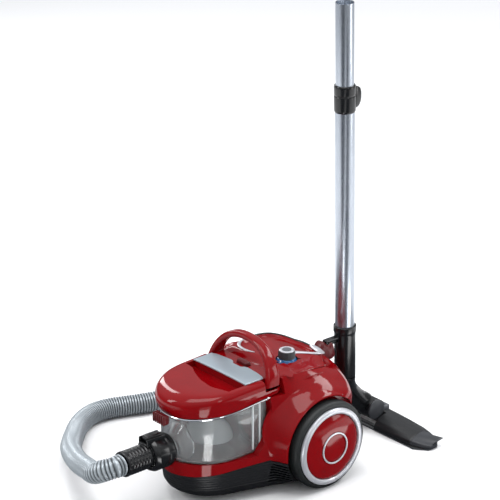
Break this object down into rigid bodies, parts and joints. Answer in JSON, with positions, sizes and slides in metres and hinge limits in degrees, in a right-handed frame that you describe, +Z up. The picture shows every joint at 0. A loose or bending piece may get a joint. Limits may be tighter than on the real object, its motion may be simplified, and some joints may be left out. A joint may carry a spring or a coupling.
{
  "type": "canister vacuum cleaner",
  "caption": "Bagless canister vacuum cleaner: wheeled body, lift-out clear dust container with arched handle, ribbed hose, and telescopic tube with floor head parked at the rear.",
  "frame": {"origin": "on the floor, under the middle of the box around the machine without its free hose", "axes": "+Z up, -Y towards the hose end (front), +X to the cleaner's left side"},
  "size_m": [0.5049, 0.6949, 0.8003],
  "materials": {
    "red_plastic": "high gloss moulded",
    "dark_red_plastic": "satin moulded",
    "black_plastic": "satin moulded",
    "grey_plastic": "satin moulded",
    "silver_plastic": "silver painted satin",
    "satin_plate": "satin",
    "chrome": "polished",
    "aluminium": "anodised satin",
    "clear_plastic": "clear moulded",
    "smoke_plastic": "satin moulded",
    "hose_plastic": "metallic sheen, ribbed",
    "blue_plastic": "satin moulded",
    "filter_fleece": "felt",
    "tyre_rubber": "soft matte",
    "bristle": "bristle",
    "steel": "plain"
  },
  "bodies": {
    "cleaner_body": {"base_pan": "black_plastic", "main_housing": "red_plastic", "top_cover": "red_plastic", "exhaust_grille_left": "silver_plastic", "exhaust_grille_right": "silver_plastic", "exhaust_filter": "filter_fleece", "premotor_filter": "filter_fleece", "motor_housing": "grey_plastic", "reel_spindle": "steel", "cable_outlet": "black_plastic", "parking_bracket": "dark_red_plastic", "stub_axle_left": "steel", "stub_axle_right": "steel", "castor_socket": "black_plastic", "hose": "hose_plastic", "hand_grip": "black_plastic"},
    "wheel_left": {"tyre_left": "tyre_rubber", "rim_ring_left": "silver_plastic", "hub_cap_left": "red_plastic", "hub_ring_left": "silver_plastic"},
    "wheel_right": {"tyre_right": "tyre_rubber", "rim_ring_right": "silver_plastic", "hub_cap_right": "red_plastic", "hub_ring_right": "silver_plastic"},
    "castor": {"castor_yoke": "grey_plastic"},
    "castor_wheel": {"castor_wheel": "tyre_rubber"},
    "knob": {"knob_skirt": "blue_plastic", "knob_cap": "silver_plastic"},
    "pedal": {"rewind_pedal": "dark_red_plastic"},
    "fan": {"motor_fan": "aluminium"},
    "reel": {"reel_drum": "grey_plastic"},
    "container": {"container_bowl": "clear_plastic", "inlet_spout": "clear_plastic", "hose_collar": "black_plastic", "hose_cuff": "black_plastic"},
    "release": {"release_button": "black_plastic"},
    "lid": {"container_lid": "red_plastic", "lid_trim": "chrome", "lid_plate": "satin_plate", "front_grip": "dark_red_plastic", "carry_handle": "red_plastic", "vortex_tube": "smoke_plastic", "vortex_filter": "filter_fleece"},
    "latch": {"latch_button": "dark_red_plastic"},
    "tube": {"lower_tube": "aluminium", "tube_collar": "black_plastic", "neck_socket": "black_plastic", "parking_hook": "black_plastic"},
    "upper_tube": {"upper_tube": "aluminium"},
    "tube_key": {"tube_key": "black_plastic"},
    "elbow": {"neck_elbow": "black_plastic", "barrel_cap_left": "grey_plastic", "barrel_cap_right": "grey_plastic"},
    "floor_head": {"head_cover": "black_plastic", "head_end_left": "grey_plastic", "head_end_right": "grey_plastic", "sole_plate": "steel", "brush_strip": "bristle"},
    "foot_key": {"foot_key": "grey_plastic"}
  },
  "joints": [
    {"name": "wheel_left_spin", "type": "hinge", "parent": "cleaner_body", "child": "wheel_left", "pos_m": [0, 0.034, 0.0785], "axis": [1, 0, 0], "continuous": true},
    {"name": "wheel_right_spin", "type": "hinge", "parent": "cleaner_body", "child": "wheel_right", "pos_m": [0, 0.034, 0.0785], "axis": [1, 0, 0], "continuous": true},
    {"name": "castor_swivel", "type": "hinge", "parent": "cleaner_body", "child": "castor", "pos_m": [0, -0.131, 0.04], "axis": [0, 0, 1], "continuous": true},
    {"name": "castor_roll", "type": "hinge", "parent": "castor", "child": "castor_wheel", "pos_m": [0, -0.123, 0.012], "axis": [1, 0, 0], "continuous": true},
    {"name": "knob_turn", "type": "hinge", "parent": "cleaner_body", "child": "knob", "pos_m": [0.038, 0.022, 0.204], "axis": [0, 0, 1], "range_deg": [-135, 135]},
    {"name": "pedal_press", "type": "slide", "parent": "cleaner_body", "child": "pedal", "axis": [0, 0, -1], "range_m": [0, 0.004], "stiffness_N_per_m": 900, "springref_m": -0.002},
    {"name": "fan_spin", "type": "hinge", "parent": "cleaner_body", "child": "fan", "pos_m": [0, 0.034, 0.112], "axis": [0, 1, 0], "continuous": true},
    {"name": "reel_spin", "type": "hinge", "parent": "cleaner_body", "child": "reel", "pos_m": [0, 0.09, 0.1], "axis": [0, 1, 0], "continuous": true},
    {"name": "container_lift", "type": "slide", "parent": "cleaner_body", "child": "container", "axis": [0, 0, 1], "range_m": [0, 0.12]},
    {"name": "release_press", "type": "slide", "parent": "container", "child": "release", "axis": [0, 0, -1], "range_m": [0, 0.0022], "stiffness_N_per_m": 900, "springref_m": -0.002},
    {"name": "lid_lift", "type": "slide", "parent": "container", "child": "lid", "axis": [0, 0, 1], "range_m": [0, 0.1]},
    {"name": "latch_press", "type": "slide", "parent": "lid", "child": "latch", "axis": [0, 0, -1], "range_m": [0, 0.003], "stiffness_N_per_m": 900, "springref_m": -0.002},
    {"name": "tube_park_lift", "type": "slide", "parent": "cleaner_body", "child": "tube", "axis": [0, 0, 1], "range_m": [0, 0.1]},
    {"name": "telescope", "type": "slide", "parent": "tube", "child": "upper_tube", "axis": [0, -0.0209, 0.9998], "range_m": [-0.13, 0.22]},
    {"name": "neck_swivel", "type": "hinge", "parent": "tube", "child": "elbow", "pos_m": [0, 0.1929, 0.1952], "axis": [0, -0.0209, 0.9998], "range_deg": [-8, 8]},
    {"name": "head_tilt", "type": "hinge", "parent": "elbow", "child": "floor_head", "pos_m": [0, 0.249, 0.038], "axis": [1, 0, 0], "range_deg": [0, 50]},
    {"name": "foot_key_rock", "type": "hinge", "parent": "floor_head", "child": "foot_key", "pos_m": [0, 0.285, 0.026], "axis": [1, 0, 0], "range_deg": [-5, 5], "stiffness_Nm_per_rad": 0.5},
    {"name": "tube_key_slide", "type": "slide", "parent": "tube", "child": "tube_key", "axis": [0, 0.0209, -0.9998], "range_m": [0, 0.005], "stiffness_N_per_m": 900, "springref_m": -0.002}
  ]
}
